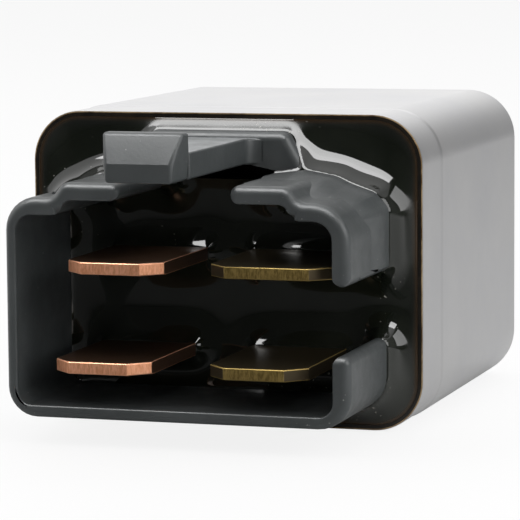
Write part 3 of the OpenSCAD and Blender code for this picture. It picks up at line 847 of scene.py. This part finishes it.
SWELL, SWELL_SIZE, RIM_WIDTH, RESIN_DEPTH = 0.04, 3.5, 0.8, 3
resin_mesh = resin_grid()
rim_layer = resin_mesh.verts.layers.float.new("rim")
for v in resin_mesh.verts:
    x, _, z = (v.co - MOUTH) / MM
    edge = float(rim_distance(x, z))
    swell = SWELL * noise.noise(Vector((x, 0, z)) / SWELL_SIZE) * min(edge, 1)
    v.co.y -= (height_at(x, z) + swell) * MM
    v[rim_layer] = max(0.0, 1 - edge / RIM_WIDTH)
edges = [e for e in resin_mesh.edges if e.is_boundary]
walls = bmesh.ops.extrude_edge_only(resin_mesh, edges=edges)["geom"]
for v in (g for g in walls if isinstance(g, bmesh.types.BMVert)):
    v.co.y = at(0, RESIN_LEVEL + RESIN_DEPTH, 0).y
bmesh.ops.holes_fill(resin_mesh, edges=[e for e in resin_mesh.edges if e.is_boundary], sides=0)
bmesh.ops.recalc_face_normals(resin_mesh, faces=resin_mesh.faces)
resin = finish_piece(resin_mesh, "potting_surface", "root", "black_epoxy", RESIN)
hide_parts("potting_resin")
resin.data.shade_smooth()
resin.data.set_sharp_from_angle(angle=math.radians(75))

# %% [markdown]
# ## The works inside
# The coil, the frame and the contacts are sealed in the can. They keep their solids, and each
# gets its own metal or plastic, so that the model is whole when it is opened or exported.

# %% Finishes of the works
def metal_finish(name, light, dark, roughness, scale, stretch=(1, 1, 1)):
    f = Finish(name, Metallic=1.0)
    marks = f.noise(scale, 3, 0.6, stretch=stretch)
    f.set("Base Color", f.ramp(marks, (0.3, dark), (0.7, light)))
    f.set("Roughness", f.span(marks, 0.3, 0.7, roughness + 0.08, roughness - 0.08))
    f.bump(marks, 0.01, 0.3)
    return f.material


def plastic_finish(name, light, dark, roughness):
    f = Finish(name, IOR=1.5)
    marks = f.noise(900, 3, 0.6)
    f.set("Base Color", f.ramp(marks, (0.3, dark), (0.7, light)))
    f.set("Roughness", f.span(marks, 0.3, 0.7, roughness - 0.05, roughness + 0.08))
    f.bump(f.noise(4000, 2, 0.6), 0.01, 0.4)
    return f.material


def wound_finish(name, light, dark, pitch, bands="Y"):
    """Turns of wire, or strands of a braid, as fine round ridges."""
    f = Finish(name, Metallic=0.9, Roughness=0.35, Coat_Weight=0.5)
    turns = f.node(
        "ShaderNodeTexWave", {"bands_direction": bands, "wave_profile": "SIN"},
        Vector=f.coordinates, Scale=1 / (pitch * MM * math.pi * 2) * 0.5, Distortion=0.4,
    ).outputs["Fac"]
    f.set("Base Color", f.mix(turns, (*dark, 1), (*light, 1)))
    f.bump(turns, 0.05, 0.6)
    return f.material


PLATED = metal_finish("plated_iron", (0.62, 0.61, 0.58), (0.50, 0.49, 0.46), 0.34, 700)
STEEL = metal_finish("rivet_steel", (0.66, 0.66, 0.66), (0.52, 0.52, 0.52), 0.30, 1500)
BRONZE = metal_finish(
    "spring_bronze", (0.83, 0.60, 0.36), (0.68, 0.45, 0.25), 0.30, 2500, (1, 1, 0.05)
)
SILVER = metal_finish("contact_silver", (0.93, 0.92, 0.89), (0.84, 0.83, 0.80), 0.25, 2200)
STOP_BRASS = metal_finish(
    "strip_brass", (0.84, 0.66, 0.36), (0.66, 0.49, 0.23), 0.32, 2500, (1, 0.05, 1)
)
BOBBIN = plastic_finish("bobbin_nylon", (0.74, 0.71, 0.62), (0.66, 0.63, 0.54), 0.45)
TAPE = plastic_finish("polyester_tape", (0.62, 0.50, 0.15), (0.50, 0.39, 0.10), 0.25)
WIRE = wound_finish("enamelled_wire", (0.70, 0.26, 0.09), (0.32, 0.10, 0.03), 0.12)
BRAID = wound_finish("braid_copper", (0.80, 0.42, 0.26), (0.36, 0.16, 0.09), 0.25, "DIAGONAL")

WORKS = {
    "yoke": PLATED, "core": PLATED, "armature": PLATED, "armature_rivets": STEEL,
    "contact_spring": BRONZE, "return_spring": BRONZE, "moving_contact": SILVER,
    "fixed_contact": SILVER, "rest_stop": STOP_BRASS, "bobbin": BOBBIN, "winding": WIRE,
    "winding_tape": TAPE, "coil_lead_lower": WIRE, "coil_lead_upper": WIRE, "shunt_braid": BRAID,
}
for node, material in WORKS.items():
    data = frame["nodes"][node].data
    data.materials.clear()
    data.materials.append(material)
print("Dressed inside the can:", len(WORKS), "solids")

# %% [markdown]
# ## The studio
# The relay lies on a pale floor under one broad soft light overhead, with a smaller one at each
# side. Metal and resin show what is round them, so what they see matters more than any lamp.
# Behind and above it is pale. In front, where the camera stands, it is dim, which is why the
# resin looks black. At the right, reflections show the floor as grey. A fourth lamp, the card,
# is hidden from diffuse light and is there for its reflection.

# %% Floor
PALE, REFLECTED, AT_RIGHT, IN_FRONT = grey(0.82), grey(0.62), grey(0.50), grey(0.025)
CAMERA_GLOW = 0.86


def floor_finish():
    f = Finish("pale_floor", Roughness=0.6)
    path = f.node("ShaderNodeLightPath")
    place = f.node("ShaderNodeSeparateXYZ", Vector=f.coordinates)
    across, along = place.outputs["X"], place.outputs["Y"]
    glossy = path.outputs["Is Glossy Ray"]
    front = f.maths("MULTIPLY", glossy, f.span(along, -0.006, -0.02))
    right = f.maths("MULTIPLY", glossy, f.span(across, 0.005, 0.02))
    right = f.maths("MULTIPLY", right, f.span(along, -0.01, 0.005))
    seen = f.mix(right, f.mix(glossy, PALE, REFLECTED), AT_RIGHT)
    f.set("Base Color", f.mix(front, seen, IN_FRONT))
    glow = f.node("ShaderNodeEmission", Color=grey(1), Strength=1.0)
    share = f.maths("MULTIPLY", path.outputs["Is Camera Ray"], CAMERA_GLOW)
    blend = f.node("ShaderNodeMixShader", Fac=share)
    f.tree.links.new(f.shader.outputs[0], blend.inputs[1])
    f.tree.links.new(glow.outputs[0], blend.inputs[2])
    f.tree.links.new(blend.outputs[0], f.tree.nodes["Material Output"].inputs["Surface"])
    return f.material


floor_mesh = bmesh.new()
bmesh.ops.create_grid(floor_mesh, x_segments=1, y_segments=1, size=1.5)
floor_data = bpy.data.meshes.new("floor")
floor_mesh.to_mesh(floor_data)
floor_mesh.free()
floor_data.materials.append(floor_finish())
floor = bpy.data.objects.new("floor", floor_data)
bpy.context.scene.collection.objects.link(floor)
print("Floor:", floor_data.materials[0].name)

# %% [markdown]
# The world is white to the camera. To everything else it is pale behind the relay, fades to a
# quarter of that at the right and to nothing in front, and has a pale ceiling. An even fill
# reaches matt surfaces from every side, and reflections show next to none of it.

# %% World
world = bpy.data.worlds.new("studio")
bpy.context.scene.world = world
world.use_nodes = True
sky = world.node_tree
background = sky.nodes["Background"]
path = sky.nodes.new("ShaderNodeLightPath")
direction = sky.nodes.new("ShaderNodeSeparateXYZ")
sky.links.new(sky.nodes.new("ShaderNodeTexCoord").outputs["Generated"], direction.inputs[0])


def sky_span(source, low, high, to_low, to_high):
    made = sky.nodes.new("ShaderNodeMapRange")
    made.interpolation_type = "SMOOTHSTEP"
    sky.links.new(source, made.inputs[0])
    for place, number in enumerate((low, high, to_low, to_high), start=1):
        made.inputs[place].default_value = number
    return made.outputs[0]


def sky_maths(operation, first, second):
    made = sky.nodes.new("ShaderNodeMath")
    made.operation = operation
    for place, value in enumerate((first, second)):
        if isinstance(value, float):
            made.inputs[place].default_value = value
        else:
            sky.links.new(value, made.inputs[place])
    return made.outputs[0]


BACKDROP, SIDE_SHARE, CEILING = 0.88, 0.25, 0.8
FILL, UNSEEN_FILL = 0.46, 0.42
behind = sky_span(direction.outputs["Y"], -0.35, 0.45, 0.0, BACKDROP)
aside = sky_span(direction.outputs["X"], -0.05, 0.35, 1.0, SIDE_SHARE)
overhead = sky_span(direction.outputs["Z"], 0.70, 0.95, 0.0, CEILING)
level = sky_maths("MAXIMUM", sky_maths("MULTIPLY", behind, aside), overhead)
unseen = sky_maths("MULTIPLY", path.outputs["Is Glossy Ray"], UNSEEN_FILL)
fill = sky_maths("SUBTRACT", FILL, unseen)
level = sky_maths("MAXIMUM", level, fill)
level = sky_maths("MAXIMUM", level, path.outputs["Is Camera Ray"])
sky.links.new(level, background.inputs["Strength"])
background.inputs["Color"].default_value = grey(1)
print("World nodes:", len(sky.nodes))

# %% Lamps
def softbox(name, place, aim, size, power):
    lamp = bpy.data.lights.new(name, "AREA")
    lamp.shape, lamp.size, lamp.size_y, lamp.energy = "RECTANGLE", size[0], size[1], power
    box = bpy.data.objects.new(name, lamp)
    box.location = Vector(place)
    box.rotation_euler = (Vector(aim) - Vector(place)).to_track_quat("-Z", "Y").to_euler()
    bpy.context.scene.collection.objects.link(box)
    return box


softbox("overhead", (0.02, 0.13, 0.36), (0, 0.06, 0.01), (0.62, 0.62), 0.72)
softbox("right", (0.34, -0.08, 0.17), (0, 0, 0.01), (0.28, 0.28), 0.85)
softbox("left", (-0.32, -0.05, 0.20), (0, 0, 0.01), (0.30, 0.30), 0.40)
card = softbox("card", (-0.04, -0.13, 0.32), (0, -0.01, 0.01), (0.46, 0.17), 2.4)
card.visible_diffuse = False
bpy.context.scene.view_settings.view_transform = "Standard"
